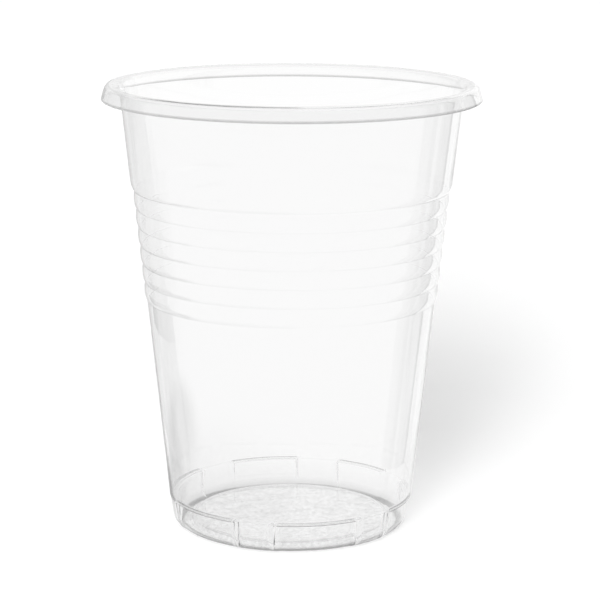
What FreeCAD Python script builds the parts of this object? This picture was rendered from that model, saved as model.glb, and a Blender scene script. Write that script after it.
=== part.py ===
import FreeCAD, Part
import math
import os

import Sketcher

# A clear thermoformed drinking cup, in millimetres: one thin wall from the base to the lip.
# It stands on its base ring at z = 0, with its axis along +Z and its front towards -Y.
# Going up: a pushed-up base disc, a standing ring with a rounded corner, a skirt with six
# stacking lugs set in under a ledge, a plain taper, six grip ribs, a plain band and a rim
# that flares out and turns down into a slanted lip.

SIZES = {
    "cup_height": 83.4,
    "wall": 0.32,
    "taper": 6.02,
    # base disc and standing ring, set in from the ledge above them
    "base_wall": 0.4,
    "disc_height": 1.0,
    "step_width": 0.5,
    "ring_width": 1.0,
    "ring_set_in": 3.28,
    # skirt: how far its lugs and bridges are set in from the ledge, at their top and foot
    "ledge_height": 5.4,
    "ledge_radius": 22.98,
    "lug_top_set_in": 1.38,
    "lug_foot_set_in": 1.08,
    "bridge_top_set_in": 0.08,
    "bridge_foot_set_in": 0.48,
    "bridge_angle": 22.0,
    # six ribs between seven notches, the highest notch so far below the top
    "notch_drop": 19.5,
    "rib_pitch": 3.45,
    "rib_height": 0.3,
    "rib_crest_drop": 1.95,
    # plain band, standing out from the line of the notches
    "band_foot_rise": 1.5,
    "band_stand_out": 0.43,
    "band_taper": 6.53,
    # rim: a flare, a rounded shoulder and a slanted lip
    "rim_wall": 0.4,
    "flare_radius": 2.23,
    "shoulder_radius": 0.9,
    "lip_length": 1.75,
    "lip_lean": 17.0,
}

# Where each bridge stands, in degrees round the axis from the front towards +X.
# They are unevenly spaced, so that the six lugs between them differ in length.
BRIDGE_TURNS = {
    "bridge_turn_1": -17.2,
    "bridge_turn_2": 42.6,
    "bridge_turn_3": 114.5,
    "bridge_turn_4": 165.6,
    "bridge_turn_5": 221.8,
    "bridge_turn_6": 280.5,
}

RIB_COUNT = 6
FRONT = -90.0
HEADROOM = 1.0
DEGREES_PER_RADIAN = 57.29578
# Straight strips that stand for each rounded stretch: few, because the wall is so thin.
CORNER_STRIP_COUNT = 2
FLARE_STRIP_COUNT = 3
SHOULDER_STRIP_COUNT = 2


class Size:
    """A size with its number and the spreadsheet expression that gives it."""

    def __init__(self, value, text):
        self.value = value
        self.text = text

    def __add__(self, other):
        other = as_size(other)
        return Size(self.value + other.value, f"({self.text} + {other.text})")

    def __sub__(self, other):
        other = as_size(other)
        return Size(self.value - other.value, f"({self.text} - {other.text})")

    def __mul__(self, other):
        other = as_size(other)
        return Size(self.value * other.value, f"({self.text} * {other.text})")

    def __truediv__(self, other):
        other = as_size(other)
        return Size(self.value / other.value, f"({self.text} / {other.text})")


def as_size(number):
    return number if isinstance(number, Size) else Size(float(number), str(number))


def sine(angle):
    return Size(math.sin(math.radians(angle.value)), f"sin({angle.text})")


def cosine(angle):
    return Size(math.cos(math.radians(angle.value)), f"cos({angle.text})")


def tangent(angle):
    return Size(math.tan(math.radians(angle.value)), f"tan({angle.text})")


def fill_sheet(doc):
    """The spreadsheet of driving sizes, one row each, with the size's name as its alias."""
    sheet = doc.addObject("Spreadsheet::Sheet", "sizes")
    sizes = {}
    for row, (name, number) in enumerate({**SIZES, **BRIDGE_TURNS}.items(), start=1):
        sheet.set(f"A{row}", name)
        sheet.set(f"B{row}", str(number))
        sheet.setAlias(f"B{row}", name)
        sizes[name] = Size(number, f"sizes.{name}")
    doc.recompute()
    return sizes


def add_places(s):
    """Adds the radii and heights that follow from the driving sizes."""
    for name in ("ring", "lug_top", "lug_foot", "bridge_top", "bridge_foot"):
        s[f"{name}_radius"] = s["ledge_radius"] - s[f"{name}_set_in"]
    s["disc_radius"] = s["ring_radius"] - s["ring_width"] - s["step_width"]
    s["first_notch"] = s["cup_height"] - s["notch_drop"]
    s["band_foot"] = s["first_notch"] + s["band_foot_rise"]
    s["band_foot_radius"] = wall_radius(s, s["band_foot"]) + s["band_stand_out"]


def rounded(centre, bend, start, end, strips):
    """Corners along an arc about centre, from one angle to another in equal steps."""
    start = as_size(start)
    step = (as_size(end) - start) / strips
    corners = []
    for index in range(strips + 1):
        angle = start + step * index
        corners.append((centre[0] + bend * cosine(angle), centre[1] + bend * sine(angle)))
    return corners


def draw_outline(sketch, corners):
    """A closed outline through the corners, each tied to the sheet by radius and height."""
    count = len(corners)
    points = [FreeCAD.Vector(radius.value, height.value, 0) for radius, height in corners]
    for index in range(count):
        sketch.addGeometry(Part.LineSegment(points[index], points[(index + 1) % count]), False)
    start, finish = 1, 2
    ties = []
    for index in range(count):
        join = Sketcher.Constraint("Coincident", index, finish, (index + 1) % count, start)
        ties.append((join, None))
        ties += corner_ties(index, start, corners[index])
    numbers = sketch.addConstraint([constraint for constraint, size in ties])
    for number, (constraint, size) in zip(numbers, ties):
        if size is not None:
            sketch.setExpression(f"Constraints[{number}]", size.text)


def corner_ties(index, end, corner):
    """A corner's distance from the axis and height over the base, each on its axis at zero."""
    across, upright = -1, -2
    ties = []
    for kind, size, axis in (("DistanceX", corner[0], upright), ("DistanceY", corner[1], across)):
        if size.value == 0:
            ties.append((Sketcher.Constraint("PointOnObject", index, end, axis), None))
        else:
            ties.append((Sketcher.Constraint(kind, index, end, size.value), size))
    return ties


def axial_sketch(body, name, corners, turn=None):
    """A sketch on the upright plane through the axis, its front turned to the given angle."""
    plane = next(item for item in body.Origin.OriginFeatures if item.Role == "XZ_Plane")
    sketch = body.newObject("Sketcher::SketchObject", name)
    sketch.AttachmentSupport = [(plane, "")]
    sketch.MapMode = "FlatFace"
    upright = FreeCAD.Rotation(FreeCAD.Vector(0, 1, 0), 1.0)
    sketch.AttachmentOffset = FreeCAD.Placement(FreeCAD.Vector(), upright)
    angle = as_size(FRONT) if turn is None else turn + FRONT
    sketch.setExpression("AttachmentOffset.Rotation.Angle", angle.text)
    draw_outline(sketch, [(as_size(radius), as_size(height)) for radius, height in corners])
    return sketch


def turned(body, kind, name, sketch, angle=None):
    """A revolution or groove of the sketch about the axis, whole or centred on its plane."""
    feature = body.newObject(f"PartDesign::{kind}", name)
    feature.Profile = sketch
    feature.ReferenceAxis = (sketch, ["V_Axis"])
    if angle is None:
        feature.Angle = 360.0
    else:
        feature.Midplane = True
        feature.setExpression("Angle", angle.text)
    body.Document.recompute()
    return feature


def wall_radius(s, height):
    """The outside radius that the taper and the notches share, at a height."""
    return s["ledge_radius"] + tangent(s["taper"]) * (height - s["ledge_height"])


def ribbed_side(s, inset):
    """The side going up from the lowest notch to the band, on the outside or inset from it."""
    corners = []
    for rib in range(RIB_COUNT):
        above = s["first_notch"] - s["rib_pitch"] * (RIB_COUNT - rib - 1)
        notch = above - s["rib_pitch"]
        crest = above - s["rib_crest_drop"]
        corners.append((wall_radius(s, notch) - inset, notch))
        corners.append((wall_radius(s, crest) + s["rib_height"] - inset, crest))
    corners.append((wall_radius(s, s["first_notch"]) - inset, s["first_notch"]))
    corners.append((s["band_foot_radius"] - inset, s["band_foot"]))
    return corners


def rim_places(s):
    """Where the rim bends: the centres of its flare and shoulder, and the lip's direction."""
    flare_height = s["cup_height"] - s["rim_wall"] - s["flare_radius"]
    band_rise = tangent(s["band_taper"]) * (flare_height - s["band_foot"])
    crest = s["band_foot_radius"] + band_rise + s["flare_radius"]
    return {
        "flare": (crest, flare_height),
        "shoulder": (crest, s["cup_height"] - s["shoulder_radius"]),
        "lean_out": cosine(s["lip_lean"]),
        "lean_up": sine(s["lip_lean"]),
    }


def lip_end(s, rim, bend):
    """The end of the slanted lip, on the surface that lies bend out from the shoulder's centre."""
    centre_radius, centre_height = rim["shoulder"]
    radius = centre_radius + bend * rim["lean_out"] + s["lip_length"] * rim["lean_up"]
    height = centre_height + bend * rim["lean_up"] - s["lip_length"] * rim["lean_out"]
    return radius, height


def outer_corners(s):
    """Half of the cup's outside as a filled form: base, skirt, side, rim and lip."""
    rim = rim_places(s)
    skirt_bend = s["lug_foot_radius"] - s["ring_radius"]
    under_bend = s["shoulder_radius"] - s["rim_wall"]
    return [
        (0, s["disc_height"]),
        (s["disc_radius"], s["disc_height"]),
        (s["disc_radius"] + s["step_width"], 0),
        (s["ring_radius"], 0),
        *rounded((s["ring_radius"], skirt_bend), skirt_bend, -90.0, 0.0, CORNER_STRIP_COUNT)[1:],
        (s["lug_top_radius"], s["ledge_height"]),
        (s["ledge_radius"], s["ledge_height"]),
        *ribbed_side(s, 0),
        *rounded(rim["flare"], s["flare_radius"], 180.0, 90.0, FLARE_STRIP_COUNT),
        *rounded(rim["shoulder"], under_bend, 90.0, s["lip_lean"], 1)[1:],
        lip_end(s, rim, under_bend),
        lip_end(s, rim, s["shoulder_radius"]),
        *rounded(rim["shoulder"], s["shoulder_radius"], s["lip_lean"], 90.0, SHOULDER_STRIP_COUNT),
        (0, s["cup_height"]),
    ]


def inner_corners(s):
    """Half of the room inside the cup, a wall's thickness in from the outside all the way up."""
    rim = rim_places(s)
    skirt_bend = s["lug_foot_radius"] - s["ring_radius"]
    skirt_centre = (s["ring_radius"], skirt_bend)
    step = s["disc_radius"] + s["base_wall"] / 2
    floor = s["ledge_height"] + s["wall"]
    top_bend = s["flare_radius"] + s["rim_wall"]
    return [
        (0, s["disc_height"] + s["base_wall"]),
        (step, s["disc_height"] + s["base_wall"]),
        (step + s["step_width"], s["wall"]),
        (s["ring_radius"], s["wall"]),
        *rounded(skirt_centre, skirt_bend - s["wall"], -90.0, 0.0, CORNER_STRIP_COUNT)[1:],
        (s["lug_top_radius"] - s["wall"], floor),
        (wall_radius(s, floor) - s["wall"], floor),
        *ribbed_side(s, s["wall"]),
        *rounded(rim["flare"], top_bend, 180.0, 90.0, FLARE_STRIP_COUNT),
        (rim["flare"][0], s["cup_height"] + HEADROOM),
        (0, s["cup_height"] + HEADROOM),
    ]


def bridge_corners(s, inset):
    """Section of a bridge between two lugs, where the skirt stands out almost to the wall."""
    bend = s["bridge_foot_radius"] - s["ring_radius"]
    top = s["ledge_height"] + inset
    return [
        (s["ring_radius"], as_size(inset)),
        *rounded((s["ring_radius"], bend), bend - inset, -90.0, 0.0, CORNER_STRIP_COUNT)[1:],
        (s["bridge_top_radius"] - inset, top),
        (s["ring_radius"], top),
    ]


def make_cup(doc, s):
    body = doc.addObject("PartDesign::Body", "cup")
    body.Label = "cup"
    outside = axial_sketch(body, "outside_section", outer_corners(s))
    turned(body, "Revolution", "outside", outside)
    for name in BRIDGE_TURNS:
        section = axial_sketch(body, f"{name}_section", bridge_corners(s, 0.0), s[name])
        turned(body, "Revolution", name, section, s["bridge_angle"])
    inside = axial_sketch(body, "inside_section", inner_corners(s))
    turned(body, "Groove", "inside", inside)
    side_angle = s["wall"] / s["bridge_foot_radius"] * DEGREES_PER_RADIAN
    for name in BRIDGE_TURNS:
        section = axial_sketch(body, f"{name}_room_section", bridge_corners(s, s["wall"]), s[name])
        turned(body, "Groove", f"{name}_room", section, s["bridge_angle"] - side_angle * 2)
    return body


def check(doc, bodies):
    """Stops if any object failed or any piece isn't one sound solid."""
    for item in doc.Objects:
        if "Invalid" in item.State or "Error" in item.State:
            raise RuntimeError(f"{item.Label} did not build: {item.State}")
    for body in bodies:
        if body.Shape.isNull() or not body.Shape.isValid() or len(body.Shape.Solids) != 1:
            raise RuntimeError(f"{body.Label} is not one valid solid")


def main():
    doc = FreeCAD.newDocument("drinking_cup")
    sizes = fill_sheet(doc)
    add_places(sizes)
    cup = make_cup(doc, sizes)
    cup.Placement = FreeCAD.Placement()
    doc.recompute()
    check(doc, [cup])
    os.makedirs("parts", exist_ok=True)
    cup.Shape.exportStep(f"parts/{cup.Label}.step")
    box = cup.Shape.BoundBox
    print(f"cup {box.XLength:.2f} x {box.YLength:.2f} x {box.ZLength:.2f} mm")
    print(f"volume {cup.Shape.Volume:.1f} mm3, {len(cup.Shape.Faces)} faces")


main()
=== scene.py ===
import math

import bpy
import numpy as np
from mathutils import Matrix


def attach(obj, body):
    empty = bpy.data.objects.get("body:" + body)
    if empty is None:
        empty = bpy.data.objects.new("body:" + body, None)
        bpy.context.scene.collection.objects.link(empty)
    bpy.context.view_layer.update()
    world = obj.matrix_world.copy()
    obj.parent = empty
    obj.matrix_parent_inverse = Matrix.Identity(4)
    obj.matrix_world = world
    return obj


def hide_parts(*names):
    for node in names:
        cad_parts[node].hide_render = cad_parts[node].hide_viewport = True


# A clear thermoformed drinking cup on a white floor. The cup's sizes are in millimetres until its
# mesh is made, and the stage's are in metres.
MM = 0.001

# The sheet, and a height halfway up the plain part of the wall.
TAPER = math.tan(math.radians(6.02))
WALL, RIM_WALL, BASE_WALL = 0.32, 0.4, 0.4
MID_WALL = 24

# The pushed-up base: the flat part, the step round it, and its two bends underneath and on top.
DISC_RADIUS, DISC_HEIGHT, DISC_RIM = 18.2, 1.0, 0.8
STEP_WIDTH, STEP_STEPS = 0.5, 6
UNDER_BENDS, FLOOR_BENDS = (0.8, 0.8), (0.7, 0.9)

# The ledge, with a point at a share of its width: the bends of its inner and outer corner, outside
# and inside the cup, the width under which a bridge leaves it other bends, and the height over it
# at which the plain wall begins, outside and inside.
LEDGE_HEIGHT, LEDGE_RADIUS, LEDGE_MIDDLE = 5.4, 22.98, 0.49
OUTER_LEDGE_BENDS, INNER_LEDGE_BENDS = (0.3, 0.12), (0.6, 0.6)
NARROW_LEDGE, NARROW_LEDGE_BENDS = 0.5, (0.02, 0.02)
OUTER_OVER_LEDGE, INNER_OVER_LEDGE = 0.22, 0.8
LEDGE_STEPS = 5

# The two sections of the stacking ring: the radius of its side at the floor and at the ledge, and
# the bend at its foot.
LUG_SIDE = (22.106, 21.6, 1.8)
BRIDGE_SIDE = (22.1, 22.93, 2.2)
FOOT_STEPS = 8

# The bridges, in degrees: where each is from the front, how wide they are and how much narrower at
# each side inside, over how much they rise at the front, at the back and in their painted shade,
# and how far from the front the front's rise is used.
BRIDGE_TURNS = (-17.2, 42.6, 114.5, 165.6, 221.8, 280.5)
BRIDGE_ANGLE, BRIDGE_NARROWER = 22.0, math.degrees(WALL / 22.0)
FRONT_FLANK, BACK_FLANK, LINE_FLANK = 3.0, 1.5, 1.3
FRONT_TURN = 70

# The ribs: each is highest at a share of its pitch, and its points are at shares of its pitch too,
# down from the notch above. The plain wall ends at a margin under the lowest notch.
FIRST_NOTCH, RIB_PITCH, RIB_COUNT = 63.9, 3.45, 6
RIB_HEIGHT, RIB_CREST = 0.3, 0.6
RIB_SHARES = (0.88, 0.76, 0.64, 0.5, 0.36, 0.22, 0.1)
NOTCH_BEND, NOTCH_STEPS = 0.22, 3
FIRST_NOTCH_BEND, FIRST_NOTCH_STEPS = 0.8, 6
RIB_MARGIN = 0.7

# The plain band, which is straight from its foot up and has its first point a little above it.
# Under its foot it bends in to the first notch.
BAND_FOOT, BAND_RADIUS, BAND_TAPER = 65.6, 29.9, 0.115
BAND_BEND, BAND_STEPS, BAND_START = 3.5, 6, 0.4

# The flare, which starts a little above the band's last point, the rim's shoulder, and the lip that
# turns down from it, with a point at a share of its length.
FLARE_CENTRE, FLARE_BEND = (33.3, 81.3), 1.7
FLARE_STEPS, FLARE_START = 9, 0.6
SHOULDER_CENTRE, SHOULDER_BEND = (33.65, 82.5), 0.9
SHOULDER_STEPS, UNDER_SHOULDER_STEPS = 7, 6
LIP_LEAN, LIP_LENGTH = 17.0, 1.98
LIP_SHARE, LIP_STEPS = 0.8, 8

# The columns of the mesh: evenly round, and at the sides of the bridges. None are closer than this.
ROUND_STEPS, FLANK_COLUMNS, LEAST_TURN = 216, 9, 0.12

# Painted shade at the ledge's edge: how much of the colour it keeps there, and how far from it up,
# down and inwards.
LEDGE_SHADE, LEDGE_SHADE_HEIGHT, LEDGE_SHADE_WIDTH = 0.14, 0.13, 0.14

# Painted shade at the foot: how much colour it keeps, by height, on the outside beyond this radius.
# The bridges have this painted shade below this height.
FOOT_HEIGHTS = (0.0, 0.3, 0.45, 1.5, 2.6)
FOOT_SHADES = (0.12, 0.16, 0.6, 0.84, 1.0)
FOOT_RADIUS, FOOT_TOP = 19.75, 4

# Painted shade at the lip: how much colour it keeps, out from this radius and below this height.
LIP_SHADE, LIP_SHADE_RADIUS, LIP_SHADE_TOP = 0.6, 34.4, 80.95

# Mottling: in full on the base, within this radius and height, and a little up the wall, where it
# fades out over a reach that ends at a height.
BASE_RADIUS, BASE_TOP = 19.5, 2
WALL_MOTTLING, MOTTLED_TOP, MOTTLED_REACH = 0.08, 26, 20

# Where both sides of the sheet take the painted shade of the outlines, as the outside does: at the
# rim, and the crest, which takes it in part.
RIM_RADIUS, RIM_FOOT = 31.9, 80.5
CREST_FOOT, CREST_EDGE_SHADED = 83.1, 0.35

# How freely light that is caught in the sheet leaves it, by height: where it leaves less freely,
# the sheet shows painted shade.
PASSING = ((3, 1), (5, 0.2), (8, 0), (41, 0), (43, 1), (65, 1), (67, 0), (79, 0), (80, 1))

# How much of that light goes on where it leaves freely, and how much where it doesn't, which is
# painted shade.
PASSED, HELD = 0.94, 0.35

# How much of the lamps' light each surface passes: the heights between which that changes, in
# metres, and both values.
SHADOW_PASS = ((0.0, 0.05), 0.92, 0.62)

# How much light the plastic passes: a faint grey of its own where its surface faces the eye, and
# painted shade that darkens its outlines as the surface turns away from the eye.
TINT_AND_EDGE_SHADE = ((0, 0.92), (0.45, 0.91), (0.62, 0.9), (0.83, 0.905), (0.875, 0.6), (1, 0.3))

# The plastic's index of refraction and roughness. Its patterns are noise, given as scale, detail
# and the share of the scale that it has upwards, with the ramps that turn the noise into greys. The
# streaks stand for the sheet's striations, painted as shade only where the cup's sides turn away
# from the eye.
REFRACTION, ROUGHNESS = 1.49, 0.03
SPOTS, SPOT_GREYS = (1200.0, 4.0, None), ((0.35, 0.8), (0.62, 1.0))
STREAKS, STREAK_GREYS = (300.0, 2.0, 0.02), ((0.4, 0.91), (0.56, 1.0))
STREAK_SHADE_SIDES = ((0.35, 0.0), (0.6, 1.0))
WAVES, WAVE_STRENGTH, WAVE_DISTANCE = (90.0, 2.0, 0.12), 0.12, 0.001

# Limits for the depth of light: it has met no surface yet, it is past the front wall's two
# surfaces, it has passed more than what the front wall mirrors, and it is caught in the sheet.
NO_SURFACE, FRONT_WALL, FRONT_GLOSS, CAUGHT = 0.5, 1.5, 2.5, 4.5

# The floor: how far it reaches, its sides, its paint, and what its own glow adds for the camera.
FLOOR_SIZE, FLOOR_SIDES = 2.4, 24
FLOOR_PAINT, FLOOR_GLOW = 0.8, 0.28

# Painted shade on the floor, seen only in the front wall's gloss: the middle of each dark spot, the
# distances from it over which the dark ends, and how bright the middle is.
DARK_SPOTS = (
    ((-0.022, -0.015, 0), (0.024, 0.058), 0.5),
    ((-0.07, 0.012, 0), (0.014, 0.036), 0.0),
)

# The painted shade in the gloss: the distances from the cup's axis over which the dark sets in, and
# the places along X between which it ends to the right.
DARK_START = (0.026, 0.034)
DARK_END = (-0.015, 0.008)

# The world: its light on the object, and the greys of its sky in the gloss, from the horizon up.
WORLD_LIGHT, SKY_GREYS = 0.4, ((0.0, 0.95), (0.1, 0.9))

# The lamps: name, how far left of the front and how high they stand in degrees, and their energy.
LAMPS = (
    ("low_key", 10, 21, 1.755),
    ("middle_key", 15, 31, 1.296),
    ("upper_key", 21, 42, 0.48),
    ("high_key", 29, 58, 0.18),
)
LAMP_ANGLE = 14.0

# The cards beside the cup: name, two points on the floor, the heights of the edges, and brightness.
TALL, LOW = (0, 0.25), (0.027, 0.036)
CARDS = (
    ("left_dark_card", (-0.05, -0.005), (-0.05, 0.02), TALL, 0.55),
    ("left_low_card", (-0.0495, -0.005), (-0.0495, 0.03), LOW, 0.1),
    ("left_pale_card", (-0.05, 0.02), (-0.06, 0.3), TALL, 0.68),
    ("right_card_1", (0.05, -0.016), (0.05, -0.009), TALL, 0.5),
    ("right_card_2", (0.05, -0.009), (0.05, -0.005), TALL, 0.2),
    ("right_card_3", (0.05, -0.005), (0.05, -0.002), TALL, 0.7),
    ("right_card_4", (0.05, -0.002), (0.05, 0.003), TALL, 0.35),
    ("right_card_5", (0.05, 0.003), (0.05, 0.009), TALL, 0.5),
    ("right_card_6", (0.05, 0.009), (0.05, 0.013), TALL, 0.0),
    ("right_bright_card", (0.05, 0.013), (0.06, 0.3), TALL, 1.15),
)

# The camera: its place, how far it looks down and rolls in degrees, its lens in millimetres, and
# its shift in pixels of a frame 600 pixels wide.
CAMERA_PLACE, CAMERA_DOWN, CAMERA_ROLL = (0, -0.4321, 0.1351), 12.13, 0.2
SENSOR_WIDTH, FOCAL_LENGTH = 36, 141.3
FRAME_WIDTH, SHIFT = 600, (8.8, 2.1)


def wall_radius(height):
    return LEDGE_RADIUS + TAPER * (height - LEDGE_HEIGHT)


def arc(centre, bend, start, end, steps):
    """Points along an arc, from one angle to another."""
    angles = np.radians(np.linspace(start, end, steps + 1))
    return [(centre[0] + bend * math.cos(a), centre[1] + bend * math.sin(a)) for a in angles]


def sharp(radius, height):
    """A corner for softened that isn't rounded."""
    return (radius, height, 0, 0)


def softened(corners):
    """A line through corners given as radius, height, bend and steps, each rounded by its bend."""
    points = []
    for index, (radius, height, bend, steps) in enumerate(corners):
        here = np.array((radius, height))
        if steps == 0:
            points.append(here)
            continue
        back = np.array(corners[index - 1][:2]) - here
        ahead = np.array(corners[index + 1][:2]) - here
        back /= np.linalg.norm(back)
        ahead /= np.linalg.norm(ahead)
        half = math.acos(float(np.clip(np.dot(back, ahead), -1, 1))) / 2
        reach = bend / math.tan(half)
        middle = (back + ahead) / np.linalg.norm(back + ahead)
        centre = here + middle * bend / math.sin(half)
        first = here + back * reach - centre
        last = here + ahead * reach - centre
        spread = math.acos(float(np.clip(np.dot(first, last) / bend**2, -1, 1)))
        for step in range(steps + 1):
            share = step / steps
            mix = math.sin((1 - share) * spread) * first + math.sin(share * spread) * last
            points.append(centre + mix / math.sin(spread))
    return points


def rib_swell(share):
    """How far a rib stands out, by how far down it is from the notch above."""
    reach = RIB_CREST if share < RIB_CREST else 1 - RIB_CREST
    return RIB_HEIGHT * (1 - ((share - RIB_CREST) / reach) ** 2)


def side_corners(inset):
    """The ribs and the foot of the band, going up, as corners for softened."""
    corners = []
    for rib in range(RIB_COUNT):
        above = FIRST_NOTCH - RIB_PITCH * (RIB_COUNT - rib - 1)
        foot = above - RIB_PITCH
        corners.append((wall_radius(foot) - inset, foot, NOTCH_BEND, NOTCH_STEPS))
        for share in RIB_SHARES:
            height = above - share * RIB_PITCH
            corners.append(sharp(wall_radius(height) + rib_swell(share) - inset, height))
    notch = wall_radius(FIRST_NOTCH) - inset
    corners.append((notch, FIRST_NOTCH, FIRST_NOTCH_BEND, FIRST_NOTCH_STEPS))
    for height in np.linspace(FIRST_NOTCH, BAND_FOOT, BAND_STEPS + 1)[2:]:
        radius = BAND_RADIUS - BAND_TAPER * (BAND_FOOT - height)
        corners.append(sharp(radius - (BAND_FOOT - height) ** 2 / (2 * BAND_BEND) - inset, height))
    corners.append(sharp(BAND_RADIUS + BAND_TAPER * BAND_START - inset, BAND_FOOT + BAND_START))
    return corners


def skirt_corners(side, inset):
    """The standing ring, the corner over it and the ledge, on the outside or inset from it."""
    foot, top, bend = side
    ledge = LEDGE_HEIGHT + inset
    wall = wall_radius(ledge) - inset
    width = wall - (top - inset)
    if width < NARROW_LEDGE:
        inner_bend, outer_bend = NARROW_LEDGE_BENDS
    else:
        inner_bend, outer_bend = OUTER_LEDGE_BENDS if inset == 0 else INNER_LEDGE_BENDS
    above = ledge + (OUTER_OVER_LEDGE if inset == 0 else INNER_OVER_LEDGE)
    return [
        (foot - inset, inset, bend - inset, FOOT_STEPS),
        (top - inset, ledge, inner_bend, LEDGE_STEPS),
        sharp(wall - LEDGE_MIDDLE * width, ledge),
        (wall, ledge, outer_bend, LEDGE_STEPS),
        sharp(wall_radius(above) - inset, above),
    ]


def wall_corners(side, inset, flare_foot):
    """The sheet from the standing ring up to the flare, on the outside or inset from it."""
    below_ribs = FIRST_NOTCH - RIB_PITCH * RIB_COUNT - RIB_MARGIN
    return [
        *skirt_corners(side, inset),
        sharp(wall_radius(MID_WALL) - inset, MID_WALL),
        sharp(wall_radius(below_ribs) - inset, below_ribs),
        *side_corners(inset),
        sharp(flare_foot - BAND_TAPER * FLARE_START, FLARE_CENTRE[1] - FLARE_START),
    ]


def lip_run(length):
    """How far the lip goes out and down over a length of it, down being less than zero."""
    lean = math.radians(LIP_LEAN)
    return np.array((math.sin(lean) * length, -math.cos(lean) * length))


def outer_line(side):
    """The outside of the cup, from the middle of the underside to the end of the lip."""
    corners = [
        sharp(0, DISC_HEIGHT),
        sharp(DISC_RADIUS / 2, DISC_HEIGHT),
        sharp(DISC_RADIUS - DISC_RIM, DISC_HEIGHT),
        (DISC_RADIUS, DISC_HEIGHT, UNDER_BENDS[0], STEP_STEPS),
        (DISC_RADIUS + STEP_WIDTH, 0, UNDER_BENDS[1], STEP_STEPS),
        *wall_corners(side, 0, FLARE_CENTRE[0] - FLARE_BEND),
    ]
    line = softened(corners)
    line += arc(FLARE_CENTRE, FLARE_BEND, 180, 90, FLARE_STEPS)
    line += arc(SHOULDER_CENTRE, SHOULDER_BEND - RIM_WALL, 90, LIP_LEAN, UNDER_SHOULDER_STEPS)
    start, end = line[-1] + lip_run(LIP_LENGTH * LIP_SHARE), line[-1] + lip_run(LIP_LENGTH)
    lean = math.radians(LIP_LEAN)
    cap_centre = end + np.array((math.cos(lean), math.sin(lean))) * RIM_WALL / 2
    line.append(start)
    line += arc(cap_centre, RIM_WALL / 2, 180 + LIP_LEAN, 360 + LIP_LEAN, LIP_STEPS)
    return line


def inner_line(side):
    """The inside of the cup, from the end of the lip over the rim to the middle of the floor."""
    step = DISC_RADIUS + BASE_WALL / 2
    floor = DISC_HEIGHT + BASE_WALL
    corners = [
        sharp(0, floor),
        sharp(DISC_RADIUS / 2, floor),
        sharp(step - DISC_RIM, floor),
        (step, floor, FLOOR_BENDS[0], STEP_STEPS),
        (step + STEP_WIDTH, WALL, FLOOR_BENDS[1], STEP_STEPS),
        *wall_corners(side, WALL, FLARE_CENTRE[0] - FLARE_BEND - RIM_WALL),
    ]
    line = softened(corners)
    line += arc(FLARE_CENTRE, FLARE_BEND + RIM_WALL, 180, 90, FLARE_STEPS)
    line += arc(SHOULDER_CENTRE, SHOULDER_BEND, 90, LIP_LEAN, SHOULDER_STEPS)
    line.append(line[-1] + lip_run(LIP_LENGTH * LIP_SHARE))
    return line[::-1]


def line_shade(line, outside):
    """Painted shade at each point of a section: darker at the ledge, foot and lip."""
    shades = np.ones(len(line))
    for index, (radius, height) in enumerate(line[:outside]):
        by_ledge = abs(height - LEDGE_HEIGHT) < LEDGE_SHADE_HEIGHT
        if by_ledge and radius > LEDGE_RADIUS - LEDGE_SHADE_WIDTH:
            shades[index] = LEDGE_SHADE
        elif radius > FOOT_RADIUS and height < FOOT_HEIGHTS[-1]:
            shades[index] = np.interp(height, FOOT_HEIGHTS, FOOT_SHADES)
        elif height < LIP_SHADE_TOP and radius > LIP_SHADE_RADIUS:
            shades[index] = LIP_SHADE
    return shades


def mottled(line):
    """How much of the plastic's mottling shows at each point of a section: full at the base."""
    on_base = (line[:, 0] < BASE_RADIUS) & (line[:, 1] < BASE_TOP)
    up_wall = WALL_MOTTLING * np.clip((MOTTLED_TOP - line[:, 1]) / MOTTLED_REACH, 0, 1)
    return np.where(on_base, 1.0, up_wall)


def edge_shaded_share(line, outside):
    """How much of the outlines' painted shade each point of a section takes."""
    edge_shaded = np.where(np.arange(len(line)) < outside, 1.0, 0.0)
    edge_shaded[(line[:, 1] > RIM_FOOT) & (line[:, 0] > RIM_RADIUS)] = 1.0
    edge_shaded[line[:, 1] > CREST_FOOT] = CREST_EDGE_SHADED
    return edge_shaded


def bridge_share(turn, narrower, flank=None):
    """How much of a bridge there is at an angle from the front: 1 on it, 0 on a lug."""
    if flank is None:
        flank = FRONT_FLANK if min(turn, 360 - turn) < FRONT_TURN else BACK_FLANK
    away = min(abs((turn - middle + 180) % 360 - 180) for middle in BRIDGE_TURNS)
    edge = BRIDGE_ANGLE / 2 - narrower
    share = min(max((edge + flank / 2 - away) / flank, 0), 1)
    return share * share * (3 - 2 * share)


def columns():
    """The angles round the cup, closer together at the sides of the bridges."""
    turns = set(np.round(np.linspace(0, 360, ROUND_STEPS, endpoint=False), 3))
    low = BRIDGE_ANGLE / 2 - BRIDGE_NARROWER - FRONT_FLANK / 2
    high = BRIDGE_ANGLE / 2 + FRONT_FLANK / 2
    for middle in BRIDGE_TURNS:
        for away in np.linspace(low, high, FLANK_COLUMNS):
            turns.add(round((middle - away) % 360, 3))
            turns.add(round((middle + away) % 360, 3))
    turns = sorted(turns)
    kept = [turns[0]]
    for turn in turns[1:]:
        if turn - kept[-1] > LEAST_TURN:
            kept.append(turn)
    return kept


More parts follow.
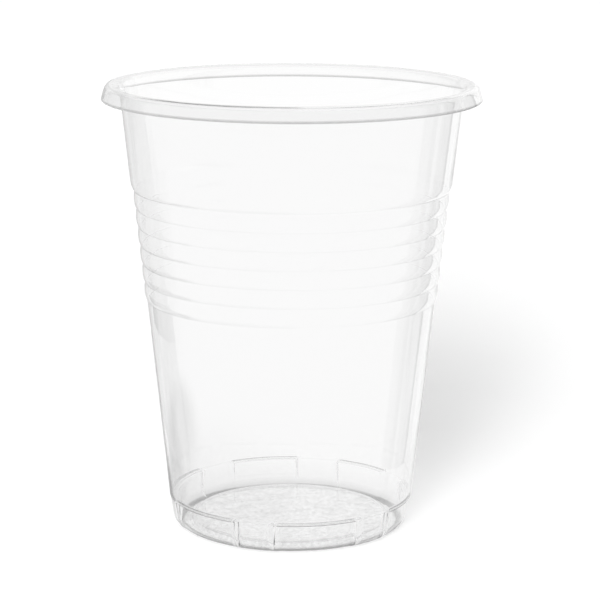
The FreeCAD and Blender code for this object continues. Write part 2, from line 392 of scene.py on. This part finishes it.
def cup_mesh():
    """The cup's sheet, revolved: a closed line of the outside and the inside at every angle."""
    outside = len(outer_line(LUG_SIDE))
    lug = np.array(outer_line(LUG_SIDE) + inner_line(LUG_SIDE))
    bridge = np.array(outer_line(BRIDGE_SIDE) + inner_line(BRIDGE_SIDE))
    # Painted shade at the ledge, foot and lip, on the lugs and on the bridges.
    lug_shade, bridge_shade = line_shade(lug, outside), np.ones(len(lug))
    foot = lug[:, 1] < FOOT_TOP
    bridge_shade[foot] = line_shade(bridge, outside)[foot]
    bridge_shade[lug_shade == LIP_SHADE] = LIP_SHADE
    turns = columns()
    points, painted_shade = [], []
    for turn in turns:
        shares = np.full(len(lug), bridge_share(turn, 0.0))
        shares[outside:] = bridge_share(turn, BRIDGE_NARROWER)
        line = lug + (bridge - lug) * shares[:, None]
        angle = math.radians(turn - 90)
        for radius, height in line[1:-1]:
            across, along = radius * math.cos(angle), radius * math.sin(angle)
            points.append((across * MM, along * MM, height * MM))
        shade = lug_shade + (bridge_shade - lug_shade) * bridge_share(turn, 0.0, LINE_FLANK)
        painted_shade += list(shade[1:-1])
    under = len(points)
    points.append((0, 0, lug[0][1] * MM))
    points.append((0, 0, lug[-1][1] * MM))
    count = len(lug) - 2
    faces = []
    for column in range(len(turns)):
        this, after = column * count, (column + 1) % len(turns) * count
        faces.append((under, after, this))
        for row in range(count - 1):
            faces.append((this + row, after + row, after + row + 1, this + row + 1))
        faces.append((this + count - 1, after + count - 1, under + 1))
    mesh = bpy.data.meshes.new("clear_cup")
    mesh.from_pydata(points, [], faces)
    mesh.update()
    mesh.shade_smooth()
    # Values at the points: painted shade, mottling, share of the outlines' painted shade, and
    # passing.
    layers = {
        "painted_shade": painted_shade,
        "mottling": list(mottled(lug)[1:-1]) * len(turns),
        "edge_shaded": list(edge_shaded_share(lug, outside)[1:-1]) * len(turns),
        "passing": list(np.interp(lug[1:-1, 1], *zip(*PASSING))) * len(turns),
    }
    on_axis = [1.0, 1.0]
    for name, values in layers.items():
        layer = mesh.attributes.new(name, "FLOAT", "POINT")
        layer.data.foreach_set("value", np.array(values + on_axis, dtype=np.float32))
    return mesh


def grey(value):
    return (value, value, value, 1)


def empty_tree(owner):
    """The node tree of a material or of the world, emptied."""
    owner.use_nodes = True
    owner.node_tree.nodes.clear()
    return owner.node_tree


def node(tree, kind, **settings):
    made = tree.nodes.new(kind)
    for name, value in settings.items():
        setattr(made, name, value)
    return made


def fill(tree, socket, given):
    """Links a socket to the one that is given, or sets it to the value that is given."""
    if isinstance(given, bpy.types.NodeSocket):
        tree.links.new(given, socket)
    else:
        socket.default_value = given


def maths(tree, operation, first, second):
    made = node(tree, "ShaderNodeMath", operation=operation)
    fill(tree, made.inputs[0], first)
    fill(tree, made.inputs[1], second)
    return made.outputs[0]


def vector_maths(tree, operation, output, first, second=None):
    made = node(tree, "ShaderNodeVectorMath", operation=operation)
    fill(tree, made.inputs[0], first)
    if second is not None:
        fill(tree, made.inputs[1], second)
    return made.outputs[output]


def mixed(tree, kind, factor, first, second, blend="MIX"):
    """A mix of two colours or of two numbers."""
    made = node(tree, "ShaderNodeMix", data_type=kind, blend_type=blend)
    fill(tree, made.inputs["Factor"], factor)
    fill(tree, made.inputs["A"], first)
    fill(tree, made.inputs["B"], second)
    return made.outputs["Result"]


def mixed_shader(tree, factor, first, second):
    made = node(tree, "ShaderNodeMixShader")
    for socket, given in zip(made.inputs, (factor, first, second)):
        tree.links.new(given, socket)
    return made.outputs["Shader"]


def greys(tree, socket, stops):
    """A colour ramp of greys over a value, given as position and brightness."""
    ramp = node(tree, "ShaderNodeValToRGB")
    elements = ramp.color_ramp.elements
    while len(elements) < len(stops):
        elements.new(0.5)
    for element, (position, value) in zip(elements, stops):
        element.position = position
        element.color = grey(value)
    tree.links.new(socket, ramp.inputs["Fac"])
    return ramp.outputs["Color"]


def smooth_ramp(tree, socket, reach, first, last):
    """A value that goes from the first to the last while another one goes over a range."""
    ramp = node(tree, "ShaderNodeMapRange", interpolation_type="SMOOTHSTEP")
    tree.links.new(socket, ramp.inputs["Value"])
    for name, value in zip(("From Min", "From Max", "To Min", "To Max"), (*reach, first, last)):
        ramp.inputs[name].default_value = value
    return ramp.outputs["Result"]


def place(tree):
    """The place on the object, in metres."""
    return node(tree, "ShaderNodeTexCoord").outputs["Object"]


def mesh_value(tree, name):
    """One of the values that the cup's mesh carries at its points."""
    return node(tree, "ShaderNodeAttribute", attribute_name=name).outputs["Fac"]


def depth(tree, kind, operation, limit):
    """A value that is 1 for light whose depth of one kind is over or under a limit."""
    light_path = node(tree, "ShaderNodeLightPath")
    return maths(tree, operation, light_path.outputs[f"{kind} Depth"], limit)


def seen_by(tree, *kinds):
    """A value that is 1 for rays of any of these kinds."""
    light_path = node(tree, "ShaderNodeLightPath")
    seen = light_path.outputs[f"Is {kinds[0]} Ray"]
    for kind in kinds[1:]:
        seen = maths(tree, "MAXIMUM", seen, light_path.outputs[f"Is {kind} Ray"])
    return seen


def past_front(tree):
    """A value that is 1 for light that isn't mirrored in the cup's front wall."""
    deep = depth(tree, "Transmission", "GREATER_THAN", FRONT_GLOSS)
    straight = depth(tree, "Glossy", "LESS_THAN", NO_SURFACE)
    return maths(tree, "MAXIMUM", deep, straight)


def facing(tree, normal=None):
    """How much a surface turns away from the eye, as it is or as if it had another normal."""
    weight = node(tree, "ShaderNodeLayerWeight")
    if normal is not None:
        tree.links.new(normal, weight.inputs["Normal"])
    return weight.outputs["Facing"]


def noise(tree, scale, detail, drawn_out):
    """A noise pattern on the cup, drawn out upwards by a share of its scale unless that is None."""
    where = place(tree)
    if drawn_out is not None:
        mapping = node(tree, "ShaderNodeMapping")
        mapping.inputs["Scale"].default_value = (1.0, 1.0, drawn_out)
        tree.links.new(where, mapping.inputs["Vector"])
        where = mapping.outputs["Vector"]
    pattern = node(tree, "ShaderNodeTexNoise")
    pattern.inputs["Scale"].default_value = scale
    pattern.inputs["Detail"].default_value = detail
    tree.links.new(where, pattern.inputs["Vector"])
    return pattern.outputs["Fac"]


def plastic_colour(tree):
    """Clear, painted shade at edges and where the outside turns away, mottling, streaks shaded at
    sides.
    """
    # A faint grey of the plastic's own on the first surface from outside, and painted shade at
    # outlines.
    first = depth(tree, "Transmission", "LESS_THAN", NO_SURFACE)
    in_front = maths(tree, "MULTIPLY", first, mesh_value(tree, "edge_shaded"))
    tint_and_edge_shade = greys(tree, facing(tree), TINT_AND_EDGE_SHADE)
    colour = mixed(tree, "RGBA", in_front, grey(1), tint_and_edge_shade)
    # Painted shade at the ledge, foot and lip darkens the colour.
    colour = mixed(tree, "RGBA", 1.0, colour, mesh_value(tree, "painted_shade"), "MULTIPLY")
    spots = greys(tree, noise(tree, *SPOTS), SPOT_GREYS)
    colour = mixed(tree, "RGBA", mesh_value(tree, "mottling"), colour, spots, "MULTIPLY")
    # Streaks of the sheet, painted as shade only at the sides that turn away from the eye.
    level = vector_maths(tree, "MULTIPLY", "Vector", place(tree), (1, 1, 0))
    radial = vector_maths(tree, "NORMALIZE", "Vector", level)
    shaded_sides = greys(tree, facing(tree, radial), STREAK_SHADE_SIDES)
    streaks = greys(tree, noise(tree, *STREAKS), STREAK_GREYS)
    return mixed(tree, "RGBA", shaded_sides, colour, streaks, "MULTIPLY")


def clear_plastic():
    """Clear plastic that passes the lamps' light, and dims light caught in its sheet as painted
    shade.
    """
    material = bpy.data.materials.new("clear_plastic")
    tree = empty_tree(material)
    link = tree.links.new
    plastic = node(tree, "ShaderNodeBsdfPrincipled")
    plastic.inputs["Transmission Weight"].default_value = 1.0
    plastic.inputs["IOR"].default_value = REFRACTION
    plastic.inputs["Roughness"].default_value = ROUGHNESS
    link(plastic_colour(tree), plastic.inputs["Base Color"])
    bump = node(tree, "ShaderNodeBump")
    bump.inputs["Strength"].default_value = WAVE_STRENGTH
    bump.inputs["Distance"].default_value = WAVE_DISTANCE
    link(noise(tree, *WAVES), bump.inputs["Height"])
    link(bump.outputs["Normal"], plastic.inputs["Normal"])
    through = node(tree, "ShaderNodeBsdfTransparent")
    split = node(tree, "ShaderNodeSeparateXYZ")
    link(place(tree), split.inputs[0])
    link(smooth_ramp(tree, split.outputs["Z"], *SHADOW_PASS), through.inputs["Color"])
    shadow = seen_by(tree, "Shadow")
    sheet = mixed_shader(tree, shadow, plastic.outputs["BSDF"], through.outputs["BSDF"])
    # Light caught in the sheet leaves it dimmed, a painted shade that is darker where passing is
    # low.
    onward = node(tree, "ShaderNodeBsdfTransparent")
    behind = depth(tree, "Transmission", "GREATER_THAN", FRONT_WALL)
    leaves = maths(tree, "MAXIMUM", behind, mesh_value(tree, "passing"))
    link(mixed(tree, "RGBA", leaves, grey(HELD), grey(PASSED)), onward.inputs["Color"])
    caught = depth(tree, "Ray", "GREATER_THAN", CAUGHT)
    output = node(tree, "ShaderNodeOutputMaterial")
    link(mixed_shader(tree, caught, sheet, onward.outputs["BSDF"]), output.inputs["Surface"])
    return material


def mirrored_floor(tree):
    """Painted shade on the floor, in the gloss of the front wall: darker in two spots at the left.
    """
    where = place(tree)
    spots = []
    for centre, reach, darkest in DARK_SPOTS:
        shifted = vector_maths(tree, "SUBTRACT", "Vector", where, centre)
        far = vector_maths(tree, "LENGTH", "Value", shifted)
        spots.append(smooth_ramp(tree, far, reach, darkest, 1.0))
    near = vector_maths(tree, "LENGTH", "Value", where)
    split = node(tree, "ShaderNodeSeparateXYZ")
    tree.links.new(where, split.inputs[0])
    inner = smooth_ramp(tree, near, DARK_START, 1.0, 0.0)
    right = smooth_ramp(tree, split.outputs["X"], DARK_END, 0.0, 1.0)
    kept_white = maths(tree, "MAXIMUM", maths(tree, "MAXIMUM", inner, right), past_front(tree))
    return maths(tree, "MAXIMUM", maths(tree, "MULTIPLY", *spots), kept_white)


def floor_material():
    """White floor with the cup's shadow, which doesn't show where the plastic shows the floor."""
    material = bpy.data.materials.new("white_floor")
    tree = empty_tree(material)
    link = tree.links.new
    paint = node(tree, "ShaderNodeBsdfDiffuse")
    paint.inputs["Color"].default_value = grey(FLOOR_PAINT)
    glow = node(tree, "ShaderNodeEmission")
    glow.inputs["Color"].default_value = grey(FLOOR_GLOW)
    link(seen_by(tree, "Camera"), glow.inputs["Strength"])
    shadowed = node(tree, "ShaderNodeAddShader")
    link(paint.outputs[0], shadowed.inputs[0])
    link(glow.outputs[0], shadowed.inputs[1])
    # Seen in the plastic the floor is plain, with painted shade in the front wall's gloss.
    plain = node(tree, "ShaderNodeEmission")
    link(mirrored_floor(tree), plain.inputs["Strength"])
    in_plastic = seen_by(tree, "Glossy", "Transmission")
    output = node(tree, "ShaderNodeOutputMaterial")
    shown = mixed_shader(tree, in_plastic, shadowed.outputs[0], plain.outputs[0])
    link(shown, output.inputs["Surface"])
    return material


def make_floor():
    points = [(0, 0, 0)]
    for turn in range(FLOOR_SIDES):
        angle = 2 * math.pi * turn / FLOOR_SIDES
        points.append((FLOOR_SIZE * math.cos(angle), FLOOR_SIZE * math.sin(angle), 0))
    faces = [(0, 1 + turn, 1 + (turn + 1) % FLOOR_SIDES) for turn in range(FLOOR_SIDES)]
    mesh = bpy.data.meshes.new("floor")
    mesh.from_pydata(points, [], faces)
    floor = bpy.data.objects.new("floor", mesh)
    floor.data.materials.append(floor_material())
    bpy.context.collection.objects.link(floor)


def make_world():
    """A soft light all round that shows as white, or a little greyer in the front wall's gloss."""
    world = bpy.data.worlds.new("studio")
    bpy.context.scene.world = world
    tree = empty_tree(world)
    light = node(tree, "ShaderNodeBackground")
    light.inputs["Color"].default_value = grey(1)
    light.inputs["Strength"].default_value = WORLD_LIGHT
    shown = node(tree, "ShaderNodeBackground")
    direction = node(tree, "ShaderNodeTexCoord")
    split = node(tree, "ShaderNodeSeparateXYZ")
    tree.links.new(direction.outputs["Generated"], split.inputs[0])
    sky = greys(tree, split.outputs["Z"], SKY_GREYS)
    tree.links.new(maths(tree, "MAXIMUM", sky, past_front(tree)), shown.inputs["Color"])
    seen = seen_by(tree, "Camera", "Glossy", "Transmission")
    output = node(tree, "ShaderNodeOutputWorld")
    surface = mixed_shader(tree, seen, light.outputs[0], shown.outputs[0])
    tree.links.new(surface, output.inputs["Surface"])


def make_lamps():
    """A tall soft light from the front left, as lamps from low to high, which throws the shadow."""
    for name, azimuth, elevation, energy in LAMPS:
        lamp = bpy.data.lights.new(name, "SUN")
        lamp.energy = energy
        lamp.angle = math.radians(LAMP_ANGLE)
        key = bpy.data.objects.new(name, lamp)
        key.rotation_euler = (math.radians(90 - elevation), 0, -math.radians(azimuth))
        key.visible_glossy = False
        key.visible_transmission = False
        bpy.context.collection.objects.link(key)


def make_card(name, near, far, heights, brightness):
    """An upright card that shows in the front wall's gloss, and is plain white in any other."""
    low, high = heights
    mesh = bpy.data.meshes.new(name)
    mesh.from_pydata([(*near, low), (*far, low), (*far, high), (*near, high)], [], [(0, 1, 2, 3)])
    material = bpy.data.materials.new(name)
    tree = empty_tree(material)
    glow = node(tree, "ShaderNodeEmission")
    shown = mixed(tree, "FLOAT", past_front(tree), brightness, 1.0)
    tree.links.new(shown, glow.inputs["Strength"])
    output = node(tree, "ShaderNodeOutputMaterial")
    tree.links.new(glow.outputs[0], output.inputs["Surface"])
    mesh.materials.append(material)
    card = bpy.data.objects.new(name, mesh)
    for ray in ("camera", "diffuse", "transmission", "shadow", "volume_scatter"):
        setattr(card, f"visible_{ray}", False)
    bpy.context.collection.objects.link(card)


def make_camera():
    lens = bpy.data.cameras.new("camera")
    lens.sensor_width = SENSOR_WIDTH
    lens.lens = FOCAL_LENGTH
    lens.shift_x = SHIFT[0] / FRAME_WIDTH
    lens.shift_y = SHIFT[1] / FRAME_WIDTH
    camera = bpy.data.objects.new("camera", lens)
    camera.location = CAMERA_PLACE
    camera.rotation_mode = "ZXY"
    camera.rotation_euler = (math.radians(90 - CAMERA_DOWN), 0, math.radians(CAMERA_ROLL))
    bpy.context.collection.objects.link(camera)
    bpy.context.scene.camera = camera


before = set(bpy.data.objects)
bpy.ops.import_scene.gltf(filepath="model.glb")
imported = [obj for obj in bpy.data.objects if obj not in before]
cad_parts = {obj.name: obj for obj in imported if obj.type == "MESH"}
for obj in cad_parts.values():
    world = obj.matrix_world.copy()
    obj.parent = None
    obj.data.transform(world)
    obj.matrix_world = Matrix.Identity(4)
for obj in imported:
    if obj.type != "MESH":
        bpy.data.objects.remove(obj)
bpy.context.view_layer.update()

cup = bpy.data.objects.new("clear_cup", cup_mesh())
bpy.context.collection.objects.link(cup)
cup.data.materials.append(clear_plastic())
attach(cup, "root")
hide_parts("cup")

make_floor()
make_world()
make_lamps()
for card in CARDS:
    make_card(*card)
make_camera()
bpy.context.scene.view_settings.view_transform = "Standard"
